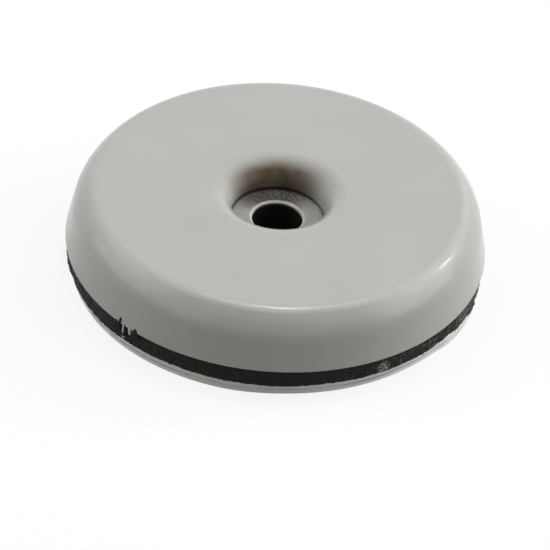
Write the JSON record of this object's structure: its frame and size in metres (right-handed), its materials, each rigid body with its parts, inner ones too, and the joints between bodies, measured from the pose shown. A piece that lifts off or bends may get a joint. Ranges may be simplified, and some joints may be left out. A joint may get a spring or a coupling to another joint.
{
  "type": "furniture slider",
  "caption": "Round screw-fixed furniture slider: a smooth moulded glide with a bull-nosed screw recess, on a foam cushion with a self-adhesive back under a release liner.",
  "frame": {"origin": "centre of the underside of the release liner, on the axis of the screw hole", "axes": "+Z along the screw hole towards the sliding face, which lies up; the part is round, so X and Y are free"},
  "size_m": [0.03, 0.03, 0.0066],
  "materials": {
    "glide_plastic": "smooth satin moulding, light warm grey",
    "bonding_adhesive": "thin translucent film",
    "black_foam": "fine-celled foam with a die-cut edge",
    "white_adhesive": "dull white tape",
    "liner_paper": "silicone-coated white paper"
  },
  "bodies": {
    "root": {"glide_body": "glide_plastic", "bonding_film": "bonding_adhesive", "cushion_pad": "black_foam", "mounting_adhesive": "white_adhesive", "release_liner": "liner_paper"}
  },
  "joints": []
}
